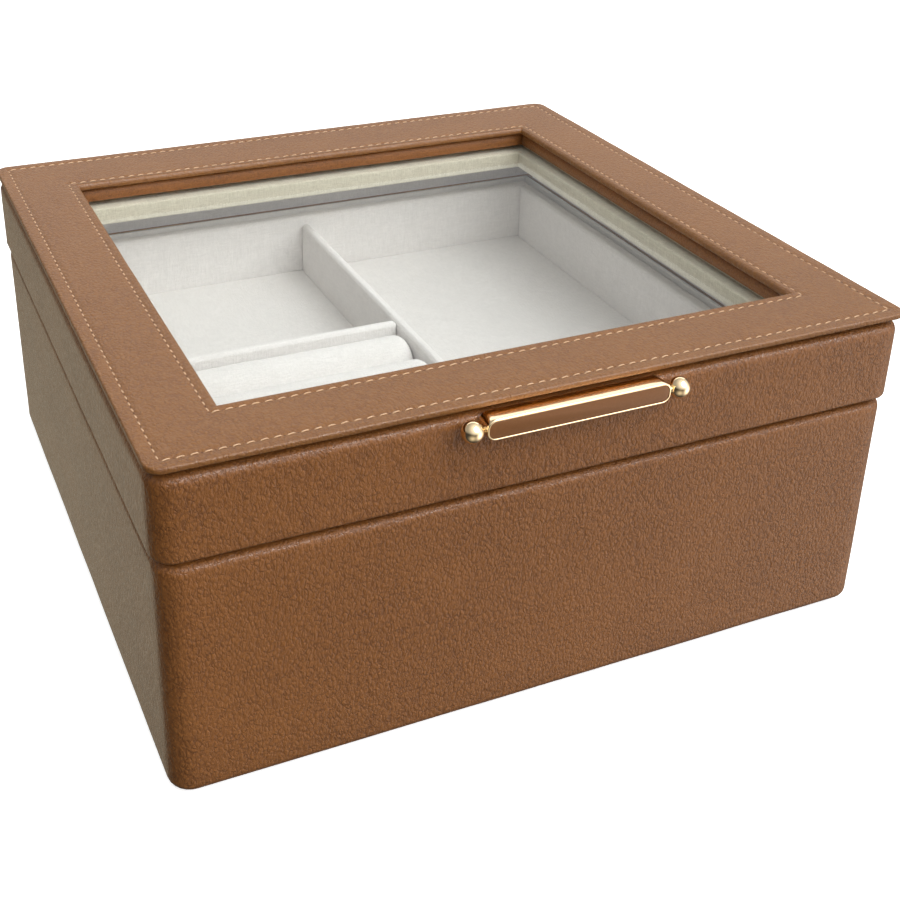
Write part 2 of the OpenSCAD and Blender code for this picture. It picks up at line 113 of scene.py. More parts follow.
def outline(half_w, half_d, radius, counts, steps=6):
    """Points round a rounded rectangle; counts gives the straight runs' steps along X and Y."""
    r = max(radius, 0.05 * MM)
    points = []
    for quarter, (sx, sy) in enumerate([(1, 1), (-1, 1), (-1, -1), (1, -1)]):
        cx, cy = sx * (half_w - r), sy * (half_d - r)
        corner = arc(cx, cy, r, quarter * 90, quarter * 90 + 90, steps)
        points += corner
        run = counts[quarter % 2]
        nx, ny = [(-1, 1), (-1, -1), (1, -1), (1, 1)][quarter]
        end_x, end_y = nx * (half_w - r), ny * (half_d - r)
        last = corner[-1]
        target = (end_x, last[1]) if quarter % 2 == 0 else (last[0], end_y)
        for i in range(1, run):
            t = i / run
            points.append((last[0] + (target[0] - last[0]) * t, last[1] + (target[1] - last[1]) * t))
    return points


def loft(name, loops, closed=True, cell=5 * MM, caps=False, matrix=Matrix(), sharp=50):
    """Joins rounded-rectangle loops into a mesh.

    Each loop is (half width, half depth, radius, height) and may end with its centre's Y.
    """
    half_w = max(loop[0] for loop in loops)
    half_d = max(loop[1] for loop in loops)
    counts = (max(2, round(2 * half_w / cell)), max(2, round(2 * half_d / cell)))
    verts, faces = [], []
    for half_w, half_d, radius, height, *centre in loops:
        mid = centre[0] if centre else 0
        verts += [matrix @ Vector((x, mid + y, height)) for x, y in outline(half_w, half_d, radius, counts)]
    n = len(verts) // len(loops)
    pairs = len(loops) if closed else len(loops) - 1
    for k in range(pairs):
        a, b = k * n, (k + 1) % len(loops) * n
        faces += [(a + i, a + (i + 1) % n, b + (i + 1) % n, b + i) for i in range(n)]
    if caps:
        faces += [tuple(range(n)), tuple(range(len(verts) - n, len(verts)))]
    return mesh_object(name, verts, faces, math.radians(sharp))


def mitred_strip(name, side, half_w, half_d, profile, cell=5 * MM, mid=0.0):
    """A strip along one side of an opening, mitred at both ends. The profile is (outwards, height)."""
    turn = {"front": 0, "right": 90, "back": 180, "left": 270}[side]
    along, out = (half_w, half_d) if side in ("front", "back") else (half_d, half_w)
    steps = round(2 * along / cell)
    spin = Matrix.Translation((0, mid, 0)) @ Matrix.Rotation(math.radians(turn), 4, "Z")
    verts, faces = [], []
    for i in range(steps + 1):
        t = 2 * i / steps - 1
        verts += [spin @ Vector((t * (along + u), -(out + u), z)) for u, z in profile]
    n = len(profile)
    for i in range(steps):
        a, b = i * n, (i + 1) * n
        faces += [(a + k, a + (k + 1) % n, b + (k + 1) % n, b + k) for k in range(n)]
    faces += [tuple(range(n)), tuple(range(steps * n, steps * n + n))]
    return mesh_object(name, verts, faces)


def lathe(name, profile, centre, axis, segments=48):
    """Turns a profile of (radius, distance along the axis) points about an axis through centre."""
    turn = Vector((0, 0, 1)).rotation_difference(Vector(axis)).to_matrix()
    verts, faces = [], []
    for radius, along in profile:
        for i in range(segments):
            a = 2 * math.pi * i / segments
            p = Vector((max(radius, 1e-6) * math.cos(a), max(radius, 1e-6) * math.sin(a), along))
            verts.append(Vector(centre) + turn @ p)
    for k in range(len(profile) - 1):
        a, b = k * segments, (k + 1) * segments
        faces += [(a + i, a + (i + 1) % segments, b + (i + 1) % segments, b + i) for i in range(segments)]
    faces += [tuple(range(segments)), tuple(range(len(verts) - segments, len(verts)))]
    return mesh_object(name, verts, faces)


def soft_box(name, lo, hi, radius, cell=6 * MM, crown=0.0):
    """A padded box with rounded edges, whose broad faces stand out by crown in the middle."""
    lo, hi = Vector(lo) + Vector((crown,) * 3), Vector(hi) - Vector((crown,) * 3)
    size = hi - lo
    radius = min(radius, min(size) * 0.49)
    turns = [math.tan(math.radians(a)) for a in (45, 33.75, 22.5, 11.25)]

    def stations(a, b):
        inner = max(1, round((b - a - 2 * radius) / cell))
        low = [a + radius - radius * t for t in turns]
        mid = [a + radius + (b - a - 2 * radius) * i / inner for i in range(inner + 1)]
        return low + mid + [b - (x - a) for x in reversed(low)]

    lines = [stations(lo[i], hi[i]) for i in range(3)]
    verts, faces = [], []
    for axis in range(3):
        u_axis, v_axis = [i for i in range(3) if i != axis]
        us, vs = lines[u_axis], lines[v_axis]
        for level in (lo[axis], hi[axis]):
            start = len(verts)
            for u in us:
                for v in vs:
                    p = Vector((0, 0, 0))
                    p[axis], p[u_axis], p[v_axis] = level, u, v
                    core = Vector([min(max(p[i], lo[i] + radius), hi[i] - radius) for i in range(3)])
                    out = (p - core).normalized()
                    swell = 1.0
                    for i in (u_axis, v_axis):
                        t = (p[i] - lo[i]) / size[i] * 2 - 1
                        swell *= 1 - t**4
                    verts.append(core + out * (radius + crown * swell))
            for i in range(len(us) - 1):
                for j in range(len(vs) - 1):
                    a = start + i * len(vs) + j
                    faces.append((a, a + 1, a + len(vs) + 1, a + len(vs)))
    return mesh_object(name, verts, faces)


def keep(obj, material, body, nodes=()):
    """Gives a new piece its material and body, and hides the CAD nodes that it stands for."""
    obj.data.materials.clear()
    obj.data.materials.append(material)
    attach(obj, body)
    if nodes:
        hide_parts(*nodes)
    return obj


# ---------- materials ----------

def material(name):
    """A new material, its node tree and its Principled shader."""
    mat = bpy.data.materials.new(name)
    mat.use_nodes = True
    tree = mat.node_tree
    shader = tree.nodes["Principled BSDF"]
    return mat, tree, shader


def add(tree, kind, inputs=(), **settings):
    """Adds a node, sets its attributes, and gives its inputs values or links."""
    node = tree.nodes.new(kind)
    for key, value in settings.items():
        setattr(node, key, value)
    for key, value in dict(inputs).items():
        if isinstance(value, bpy.types.NodeSocket):
            tree.links.new(value, node.inputs[key])
        else:
            node.inputs[key].default_value = value
    return node


def coordinates(tree, scale=(1, 1, 1)):
    """Object coordinates in millimetres, stretched by scale."""
    coords = add(tree, "ShaderNodeTexCoord")
    mapping = add(tree, "ShaderNodeMapping", {"Vector": coords.outputs["Object"]})
    mapping.inputs["Scale"].default_value = [1000 * s for s in scale]
    return mapping.outputs["Vector"]


def noise_node(tree, vector, scale, detail=3.0, roughness=0.55):
    """Layered noise; its Fac output runs from 0 to 1."""
    inputs = {"Vector": vector, "Scale": scale, "Detail": detail, "Roughness": roughness}
    return add(tree, "ShaderNodeTexNoise", inputs)


def math_node(tree, operation, a, b):
    """The result of one sum on two values or links."""
    return add(tree, "ShaderNodeMath", {0: a, 1: b}, operation=operation).outputs[0]


def ramp(tree, value, low, high, out_low=0.0, out_high=1.0):
    """Eases from out_low to out_high while the value goes from low to high."""
    inputs = {"Value": value, "From Min": low, "From Max": high, "To Min": out_low, "To Max": out_high}
    return add(tree, "ShaderNodeMapRange", inputs, interpolation_type="SMOOTHSTEP").outputs["Result"]


def blend_colour(tree, factor, a, b):
    """Mixes two colours, each given as three numbers or as a link."""
    node = add(tree, "ShaderNodeMix", data_type="RGBA")
    for key, value in ((0, factor), (6, a), (7, b)):
        if isinstance(value, bpy.types.NodeSocket):
            tree.links.new(value, node.inputs[key])
        else:
            node.inputs[key].default_value = value if key == 0 else (*value, 1)
    return node.outputs[2]


def leather(name, colour, crease, depth, roughness, grain=(1.0, 1.0, 0.6), cell=1.2):
    """Grained leather: soft pebbles parted by fine creases that come and go, and a slow drift of colour."""
    mat, tree, shader = material(name)
    place = coordinates(tree, grain)
    warp = noise_node(tree, place, 0.9 / cell, 3.0)
    shift = {0: warp.outputs["Color"], "Scale": 1.1 * cell}
    warped = add(tree, "ShaderNodeVectorMath", shift, operation="SCALE")
    bent = add(tree, "ShaderNodeVectorMath", {0: place, 1: warped.outputs[0]}, operation="ADD")
    where = {"Vector": bent.outputs[0], "Scale": 1 / cell}
    cells = add(tree, "ShaderNodeTexVoronoi", where, feature="SMOOTH_F1")
    pebble = ramp(tree, cells.outputs["Distance"], 0.1, 0.75, 1.0, 0.0)
    edges = add(tree, "ShaderNodeTexVoronoi", where, feature="DISTANCE_TO_EDGE")
    line = ramp(tree, edges.outputs["Distance"], 0.02, 0.20, 1.0, 0.0)
    patchy = noise_node(tree, place, 0.7 / cell, 2.0).outputs["Fac"]
    line = math_node(tree, "MULTIPLY", line, ramp(tree, patchy, 0.32, 0.62, 0.2, 1.0))
    fine = noise_node(tree, place, 1.5 / cell, 3.0, 0.62).outputs["Fac"]
    height = math_node(tree, "MULTIPLY", pebble, 0.35)
    height = math_node(tree, "ADD", height, ramp(tree, fine, 0.3, 0.7, 0.0, 0.45))
    height = math_node(tree, "SUBTRACT", height, math_node(tree, "MULTIPLY", line, 0.3))
    light = blend_colour(tree, ramp(tree, fine, 0.3, 0.65, 0.6, 0.0), colour, crease)
    tone = blend_colour(tree, line, light, crease)
    drift = noise_node(tree, coordinates(tree), 0.03, 2.0)
    faded = [min(1, c * 1.12) for c in colour]
    shade = blend_colour(tree, ramp(tree, drift.outputs["Fac"], 0.3, 0.75, 0.0, 0.3), tone, faded)
    tree.links.new(shade, shader.inputs["Base Color"])
    gloss = ramp(tree, fine, 0.3, 0.7, roughness + 0.1, roughness)
    tree.links.new(gloss, shader.inputs["Roughness"])
    bump = add(tree, "ShaderNodeBump", {"Height": height, "Strength": 1.0, "Distance": depth * MM})
    tree.links.new(bump.outputs[0], shader.inputs["Normal"])
    shader.inputs["IOR"].default_value = 1.45
    shader.inputs["Specular IOR Level"].default_value = 0.4
    shader.inputs["Sheen Weight"].default_value = 0.05
    shader.inputs["Sheen Roughness"].default_value = 0.4
    shader.inputs["Sheen Tint"].default_value = (1.0, 0.95, 0.7, 1)
    return mat


def fabric(name, colour, shadow, thread=0.42, depth=0.06):
    """Linen-like cloth: threads along all three axes with slubs, and a soft fibre sheen."""
    mat, tree, shader = material(name)
    long = thread * 9
    total = None
    for scale in ((long, thread, thread), (thread, long, thread), (thread, thread, long)):
        place = coordinates(tree, [1 / s for s in scale])
        strand = noise_node(tree, place, 1.0, 2.0).outputs["Fac"]
        total = strand if total is None else math_node(tree, "ADD", total, strand)
    weave = ramp(tree, total, 1.1, 1.9)
    cloudy = noise_node(tree, coordinates(tree), 0.12, 3.0)
    tone = blend_colour(tree, weave, shadow, colour)
    soft = blend_colour(tree, ramp(tree, cloudy.outputs["Fac"], 0.35, 0.8, 0.0, 0.35), tone, shadow)
    tree.links.new(soft, shader.inputs["Base Color"])
    bump = add(tree, "ShaderNodeBump", {"Height": weave, "Strength": 1.0, "Distance": depth * MM})
    tree.links.new(bump.outputs[0], shader.inputs["Normal"])
    shader.inputs["Roughness"].default_value = 0.9
    shader.inputs["Sheen Weight"].default_value = 0.25
    shader.inputs["Sheen Roughness"].default_value = 0.5
    return mat


def metal(name, colour, roughness, streak):
    """Plated metal with faint polishing marks."""
    mat, tree, shader = material(name)
    marks = noise_node(tree, coordinates(tree, (0.2, 3.0, 3.0)), 1.0, 3.0)
    gloss = ramp(tree, marks.outputs["Fac"], 0.3, 0.7, roughness, roughness + streak)
    tree.links.new(gloss, shader.inputs["Roughness"])
    tint = blend_colour(tree, marks.outputs["Fac"], [c * 0.96 for c in colour], colour)
    tree.links.new(tint, shader.inputs["Base Color"])
    shader.inputs["Metallic"].default_value = 1.0
    return mat


def fibreboard(name):
    """Raw board under the leather, seen only at its cut edges."""
    mat, tree, shader = material(name)
    fibres = noise_node(tree, coordinates(tree, (0.6, 0.6, 3.0)), 1.0, 4.0)
    tone = blend_colour(tree, fibres.outputs["Fac"], (0.30, 0.20, 0.12), (0.48, 0.35, 0.22))
    tree.links.new(tone, shader.inputs["Base Color"])
    bump = add(tree, "ShaderNodeBump", {"Height": fibres.outputs["Fac"], "Distance": 0.05 * MM})
    tree.links.new(bump.outputs[0], shader.inputs["Normal"])
    shader.inputs["Roughness"].default_value = 0.85
    return mat


def window_glass(name):
    """Thin clear glass: light passes straight through and its faces mirror a little."""
    mat, tree, shader = material(name)
    tree.nodes.remove(shader)
    smear = noise_node(tree, coordinates(tree), 0.03, 2.0)
    tint = blend_colour(tree, smear.outputs["Fac"], (0.970, 0.980, 0.975), (0.980, 0.986, 0.982))
    clear = add(tree, "ShaderNodeBsdfTransparent", {"Color": tint})
    mirror = add(tree, "ShaderNodeBsdfGlossy", {"Color": (1, 1, 1, 1), "Roughness": 0.03})
    facing = add(tree, "ShaderNodeFresnel", {"IOR": 1.3})
    outside = math_node(tree, "SUBTRACT", 1.0, add(tree, "ShaderNodeNewGeometry").outputs["Backfacing"])
    share = math_node(tree, "MULTIPLY", math_node(tree, "MULTIPLY", facing.outputs[0], outside), 0.5)
    mix = add(tree, "ShaderNodeMixShader", {0: share, 1: clear.outputs[0], 2: mirror.outputs[0]})
    tree.links.new(mix.outputs[0], tree.nodes["Material Output"].inputs["Surface"])
    return mat


TAN = (0.274, 0.105, 0.026)
CREASE = (0.150, 0.052, 0.012)
# The top frame's leather is a darker copy of TAN: painted shade that offsets the stronger light falling on
# the top.
SHADED_TOP_TAN = (0.236, 0.097, 0.021)
side_leather = leather("side_leather", TAN, CREASE, 0.24, 0.30)
top_leather = leather("top_leather", SHADED_TOP_TAN, (0.180, 0.068, 0.018), 0.22, 0.38, (1, 0.6, 1), 1.3)
bead_leather = leather("bead_leather", TAN, CREASE, 0.12, 0.38, (1, 1, 1), 0.9)
inlay_leather = leather("inlay_leather", (0.22, 0.09, 0.03), (0.20, 0.08, 0.026), 0.01, 0.36, (1, 1, 1), 0.9)
thread = leather("thread", (0.68, 0.46, 0.29), (0.52, 0.32, 0.18), 0.04, 0.5, (1, 1, 1), 0.3)
hole_shadow = leather("hole_shadow", (0.10, 0.038, 0.012), (0.07, 0.025, 0.008), 0.02, 0.7, (1, 1, 1), 0.3)
cream_linen = fabric("cream_linen", (0.82, 0.79, 0.77), (0.70, 0.675, 0.655), 0.42, 0.10)
beige_linen = fabric("beige_linen", (0.74, 0.70, 0.57), (0.58, 0.54, 0.43), 0.42, 0.10)
# The lid lips' cloth is darker than the cream lining: its grey is painted shade of the recess under the
# retainer, on a faint mauve tint.
shaded_grey_linen = fabric("shaded_grey_linen", (0.60, 0.575, 0.575), (0.50, 0.475, 0.475))
felt = fabric("felt", (0.20, 0.14, 0.10), (0.12, 0.08, 0.06), 0.3, 0.1)
gold = metal("gold", (0.95, 0.74, 0.47), 0.07, 0.05)
brass = metal("brass", (0.80, 0.60, 0.30), 0.24, 0.14)
board = fibreboard("board")
glass = window_glass("window_glass")


# ---------- leather skins of the base and the lid ----------

def skin_loops(lo, hi, margins, rounding, necks=(0, 0)):
    """Loops of a leather skin that turns in at the bottom and at the rim, low values first.

    A neck is how far a turned edge stops short of the seam; the skin meets the seam further in.
    """
    half_w, half_d = hi.x, (hi.y - lo.y) / 2
    low_r, high_r = rounding
    low_z, high_z = lo.z + necks[0], hi.z - necks[1]
    outside = [(-margins[0], lo.z)]
    if necks[0]:
        outside += [(-3.6 * MM, lo.z), (-3.2 * MM, low_z)]
    outside += arc(-low_r, low_z + low_r, low_r, -90, 0, 7)
    steps = 12
    wall = (high_z - low_z) - low_r - high_r
    outside += [(0, low_z + low_r + wall * i / steps) for i in range(1, steps)]
    outside += arc(-high_r, high_z - high_r, high_r, 0, 90, 8)
    if necks[1]:
        for t in (0.3, 0.6, 1):
            outside.append((-high_r - t * 3.5 * MM, high_z + necks[1] * math.sin(t * math.pi / 2)))
    outside += [(-margins[1], hi.z)]
    inside = [(-margins[1], high_z - LEATHER)]
    inside += arc(-high_r, high_z - high_r, high_r - LEATHER, 90, 0, 3)
    inside += arc(-low_r, low_z + low_r, low_r - LEATHER, 0, -90, 3)
    inside += [(-margins[0], low_z + LEATHER)]
    return [(half_w + u, half_d + u, CORNER + u, z) for u, z in outside + inside]


def leather_skins():
    """The leather round the base and round the lid."""
    low_margin = base_hi.x - panel_hi.x
    rim_margin = base_hi.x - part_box("base_lining_right")[1].x
    loops = skin_loops(base_lo, base_hi, (low_margin, rim_margin), BASE_ROUNDING, BASE_NECKS)
    skin = loft("base_skin", loops, cell=4 * MM)
    wobble(skin, 0.10 * MM, 22 * MM)
    keep(skin, side_leather, "base", ["base_leather"])
    lid_margin = lid_hi.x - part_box("lid_lip_right")[1].x
    loops = skin_loops(lid_lo, lid_hi, (lid_margin, 6 * MM), LID_ROUNDING, LID_NECKS)
    skin = loft("lid_skin", loops, cell=4 * MM)
    wobble(skin, 0.10 * MM, 22 * MM)
    keep(skin, side_leather, "lid", ["lid_leather"])


# ---------- stitched top frame ----------

STITCH_EDGE = 4.6 * MM
STITCH_WINDOW = 3.6 * MM
STITCH_PITCH = 3.9 * MM
STITCH_LENGTH = 2.7 * MM
THREAD_R = 0.20 * MM
GROOVE = 0.38 * MM


def groove_points(centre, sign):
    """Height drops across a sewn channel, as (distance from the edge, drop) in order along sign."""
    offsets = (-2.4, -1.6, -1.0, -0.5, 0.0, 0.5, 1.0, 1.6, 2.4)
    points = [(centre + o * MM, GROOVE * math.exp(-((o / 0.9) ** 2))) for o in offsets]
    return points if sign > 0 else points[::-1]


def top_frame():
    """The leather of the lid's top: undercut outer edge, two sewn channels, and a roll into the window."""
    half_w, half_d = top_hi.x, (top_hi.y - top_lo.y) / 2
    low_r = 0.5 * MM
    edge = 0.8 * MM
    under = top_lo.z + 0.65 * MM
    flat = arc(-edge, top_hi.z - edge, edge, 0, 90, 6)
    undercut = [(-3.6 * MM, top_lo.z), (-3.2 * MM, under)]
    outer = undercut + arc(-low_r, under + low_r, low_r, -90, 0, 4) + flat
    puff = 0.25 * MM
    loops = [(half_w + u, half_d + u, max(TOP_CORNER + u, 0), z) for u, z in outer]
    for t, drop in groove_points(STITCH_EDGE, 1):
        loops.append((half_w - t, half_d - t, max(TOP_CORNER - t, 0), top_hi.z - drop))
    reach = 2.4 * MM
    a = half_w - STITCH_EDGE - reach, half_d - STITCH_EDGE - reach, 0
    b = HOLE_W + STITCH_WINDOW + reach, HOLE_D + STITCH_WINDOW + reach, HOLE_Y
    for share in (0.15, 0.3, 0.5, 0.7, 0.85):
        w, d, mid = [p + (q - p) * share for p, q in zip(a, b)]
        swell = puff * math.sin(math.pi * share)
        loops.append((w, d, 0, top_hi.z + swell, mid))
    for t, drop in groove_points(STITCH_WINDOW, -1):
        loops.append((HOLE_W + t, HOLE_D + t, 0.4 * MM, top_hi.z - drop, HOLE_Y))
    roll = []
    for degrees in range(90, -1, -10):
        t = math.radians(degrees)
        roll.append((1.6 * MM * (math.cos(t) - 1), top_hi.z - 1.7 * MM * (1 - math.sin(t))))
    roll += arc(-low_r, top_lo.z + low_r, low_r, 0, -90, 4)
    loops += [(HOLE_W - u, HOLE_D - u, 0.4 * MM, z, HOLE_Y) for u, z in roll]
    skin = loft("top_frame", loops, cell=4 * MM)
    wobble(skin, 0.07 * MM, 16 * MM)
    keep(skin, top_leather, "lid", ["top_frame_leather"])


def stitch(centre, along, across, length, sunk):
    """One thread bridge: a bent tube whose ends sink into the leather."""
    rings = 7
    sides = 7
    verts, faces = [], []
    for i in range(rings):
        t = 2 * i / (rings - 1) - 1
        rise = THREAD_R * (1.0 - sunk - 1.9 * t**4)
        r = THREAD_R * (1 - 0.35 * t**6)
        for k in range(sides):
            a = 2 * math.pi * k / sides
            offset = across * (r * 1.15 * math.cos(a)) + Vector((0, 0, rise + r * math.sin(a)))
            verts.append(centre + along * (t * length / 2) + offset)
    for i in range(rings - 1):
        for k in range(sides):
            a, b = i * sides + k, i * sides + (k + 1) % sides
            faces.append((a, b, b + sides, a + sides))
    faces += [tuple(range(sides)), tuple(range((rings - 1) * sides, rings * sides))]
    return verts, faces


def hole(centre, radius):
    """A small dark dome where the thread goes through."""
    sides = 8
    verts, faces = [], []
    for share, height in ((1.0, -0.2), (0.8, 0.02), (0.4, 0.045)):
        for k in range(sides):
            a = 2 * math.pi * k / sides
            spot = Vector((math.cos(a), math.sin(a), 0)) * radius * share
            verts.append(centre + spot + Vector((0, 0, height * MM)))
    for ring in range(2):
        for k in range(sides):
            a, b = ring * sides + k, ring * sides + (k + 1) % sides
            faces.append((a, b, b + sides, a + sides))
    faces += [tuple(range(sides)), tuple(range(2 * sides, 3 * sides))]
    return verts, faces


def stitch_row(name, half_w, half_d, mid=0.0):
    """Thread bridges and their holes round a rectangle on the top frame."""
    z = top_hi.z - GROOVE
    parts = {"thread": ([], []), "holes": ([], [])}

    def put(kind, made):
        verts, faces = parts[kind]
        start = len(verts)
        verts.extend(made[0])
        faces.extend(tuple(start + i for i in f) for f in made[1])

    turns = ((-1, -1), (1, -1), (1, 1), (-1, 1))
    corners = [Vector((sx * half_w, mid + sy * half_d, z)) for sx, sy in turns]
    for i, start in enumerate(corners):
        end = corners[(i + 1) % 4]
        run = end - start
        count = round(run.length / STITCH_PITCH)
        step = run / count
        line = step.normalized()
        # The left and right rows have shorter threads sunk deeper and larger dark hole domes: the bigger
        # domes are painted shade in the channel along those rows.
        side_row = i % 2
        for k in range(count):
            spot = start + step * (k + 0.5)
            jitter = noise.noise(spot / (1.7 * MM))
            slant = math.radians(8 + 4 * jitter)
            along = Matrix.Rotation(slant, 3, "Z") @ line
            across = Vector((-along.y, along.x, 0))
            length = STITCH_LENGTH * (1 - 0.15 * side_row + 0.06 * jitter)
            put("thread", stitch(spot, along, across, length, 0.9 * side_row))
            put("holes", hole(start + step * k, (0.28 + 0.22 * side_row) * MM))
    row = mesh_object(name, *parts["thread"])
    keep(row, thread, "lid")
    dots = mesh_object(name + "_holes", *parts["holes"])
    keep(dots, hole_shadow, "lid")


# ---------- window: beads, glass, retainer and lid lips ----------

SIDES = ("front", "back", "left", "right")


def window_parts():
    """The strips round the window, each from the lid wall inwards, and the pane."""
    sunk = LEATHER + 8 * MM
    wall_w, wall_d = lid_hi.x - sunk, lid_hi.y - sunk
    low, high = bead_lo.z, bead_hi.z
    shelf, top, foot = glass_lo.z, retainer_hi.z, retainer_lo.z
    soft = 0.7 * MM
    lip_t = lip_hi.y - lip_lo.y
    for side in SIDES:
        shift = {"front": HOLE_Y, "back": -HOLE_Y}.get(side, 0)
        across = side in ("front", "back")
        reach = wall_d - HOLE_D + shift if across else wall_w - HOLE_W
        lap = (glass_hi.y - HOLE_D + shift if across else glass_hi.x - HOLE_W) + 0.4 * MM
        bead = [(reach, low), (BEAD_STEP + 0.6 * MM, low), (BEAD_STEP + 0.15 * MM, low + 0.25 * MM)]
        for degrees in range(-20, 81, 10):
            t = math.radians(degrees)
            bead.append((BEAD_STEP + 3.2 * MM * (1 - math.cos(t)), low + 2 * MM + 3.8 * MM * math.sin(t)))
        bead += [(BEAD_STEP + 3.4 * MM, high), (reach, high)]
        holder = [(reach, foot), *arc(-BEAD_STEP + soft, foot + soft, soft, 270, 180, 4)]
        holder += arc(-BEAD_STEP + soft, shelf - soft, soft, 180, 90, 4)
        holder += [(lap, shelf), (lap, top), (reach, top)]
        lip = [(reach, lip_lo.z), (reach - lip_t, lip_lo.z), (reach - lip_t, lip_hi.z), (reach, lip_hi.z)]
        looks = (("bead", bead, bead_leather, "leather_top", "glass_bead_"),
                 ("retainer", holder, beige_linen, "retainer_lining", "glass_retainer_"),
                 ("lip", lip, shaded_grey_linen, "lip_lining", "lid_lip_"))
        for name, profile, look, slot, node in looks:
            piece = mitred_strip(f"{name}_{side}", side, HOLE_W, HOLE_D, profile, mid=HOLE_Y)
            if name == "bead":
                wobble(piece, 0.10 * MM, 14 * MM)
            keep(piece, look, "lid", [node + side])
    half_w, half_d = glass_hi.x, glass_hi.y
    arris = 0.3 * MM
    loops = [(half_w - arris, half_d - arris, 1 * MM, glass_lo.z),
             (half_w, half_d, 1.2 * MM, glass_lo.z + arris),
             (half_w, half_d, 1.2 * MM, glass_hi.z - arris),
             (half_w - arris, half_d - arris, 1 * MM, glass_hi.z)]
    pane = loft("window_pane", loops, closed=False, cell=50 * MM, caps=True, sharp=15)
    keep(pane, glass, "lid", ["glass_pane"])


# ---------- linings, tray and ring rolls ----------

def lining(name, body, radius, crown=0.0, cell=6 * MM, tuck=0.0, rise=0.0):
    """A cloth-covered board, card or cushion in place of its CAD node.

    Tuck widens it under its neighbours, and rise lifts its top edge.
    """
    lo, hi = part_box(name)
    lo, hi = lo - Vector((tuck, tuck, 0)), hi + Vector((tuck, tuck, rise))
    piece = soft_box(name + "_cloth", lo, hi, radius, cell, crown)
    keep(piece, cream_linen, body, [name])
    return piece


def linings():
    """Everything covered in pale cloth but the ring rolls, and the felt under the case."""
    seam_cover = lip_lo.z - 0.3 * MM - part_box("base_lining_front")[1].z
    for side in SIDES:
        lining("base_lining_" + side, "base", 0.6 * MM, rise=seam_cover)
        piece = lining(f"tray_{side}_wall", "tray", 1.7 * MM, 0.15 * MM)
        wobble(piece, 0.10 * MM, 18 * MM)
    lining("base_floor_pad", "base", 0.5 * MM)
    lining("tray_ledge_left", "base", 1 * MM)
    lining("tray_ledge_right", "base", 1 * MM)
    lining("tray_floor_board", "tray", 0.6 * MM)
    for name in ("tray_long_divider", "tray_cross_divider"):
        piece = lining(name, "tray", 1.6 * MM, 0.1 * MM)
        wobble(piece, 0.08 * MM, 18 * MM)
    for name in ("tray_pad_rear_left", "tray_pad_right"):
        lining(name, "tray", 0.5 * MM, tuck=0.9 * MM)
    loops = [(panel_hi.x - 0.6 * MM, panel_hi.y - 0.6 * MM, 2.4 * MM, panel_lo.z),
             (panel_hi.x - 0.15 * MM, panel_hi.y - 0.15 * MM, 2.8 * MM, panel_lo.z + 0.15 * MM),
             (panel_hi.x, panel_hi.y, 3 * MM, panel_lo.z + 0.6 * MM),
             (panel_hi.x, panel_hi.y, 3 * MM, panel_hi.z)]
    panel = loft("underside_felt", loops, closed=False, cell=8 * MM, caps=True)
    keep(panel, felt, "base", ["underside_panel"])


def ring_roll(index):
    """A foam roll: round on top, straight sides, a flat foot, and softly rounded ends."""
    lo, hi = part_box(f"ring_roll_{index}")
    half = (hi.y - lo.y) / 2
    mid_y = (lo.y + hi.y) / 2
    centre_z = hi.z - half
    end_r = 5.0 * MM
    section = arc(0, 0, half, 0, 180, 28)
    foot = lo.z - centre_z
    for share in (0.25, 0.5, 0.75, 0.93):
        section.append((-half * (1 - 0.10 * share**2), foot * share))
    section += [(-half * 0.82, foot), (0, foot), (half * 0.82, foot)]
    for share in (0.93, 0.75, 0.5, 0.25):
        section.append((half * (1 - 0.10 * share**2), foot * share))
    turns = [math.radians(a) for a in (0, 12, 25, 38, 51, 64, 77, 90)]
    stations = [(lo.x + end_r * (1 - math.cos(a)), math.sin(a)) for a in turns]
    run = hi.x - lo.x - 2 * end_r
    middle = [(lo.x + end_r + run * i / 24, 1.0) for i in range(1, 24)]
    ends = stations + middle + [(lo.x + hi.x - x, s) for x, s in reversed(stations)]
    verts, faces = [], []
    shrink = 0.45
    for x, s in ends:
        scale = 1 - shrink * (1 - s)
        for y, z in section:
            dz = z * scale if z > 0 else z
            verts.append(Vector((x, mid_y + y * scale, centre_z + dz)))
    n = len(section)
    for i in range(len(ends) - 1):
        a, b = i * n, (i + 1) * n
        faces += [(a + k, a + (k + 1) % n, b + (k + 1) % n, b + k) for k in range(n)]
    faces += [tuple(range(n)), tuple(range((len(ends) - 1) * n, len(ends) * n))]
    piece = mesh_object(f"ring_roll_{index}_cloth", verts, faces)
    wobble(piece, 0.18 * MM, 14 * MM)
    keep(piece, cream_linen, "tray", [f"ring_roll_{index}"])


# ---------- handle ----------

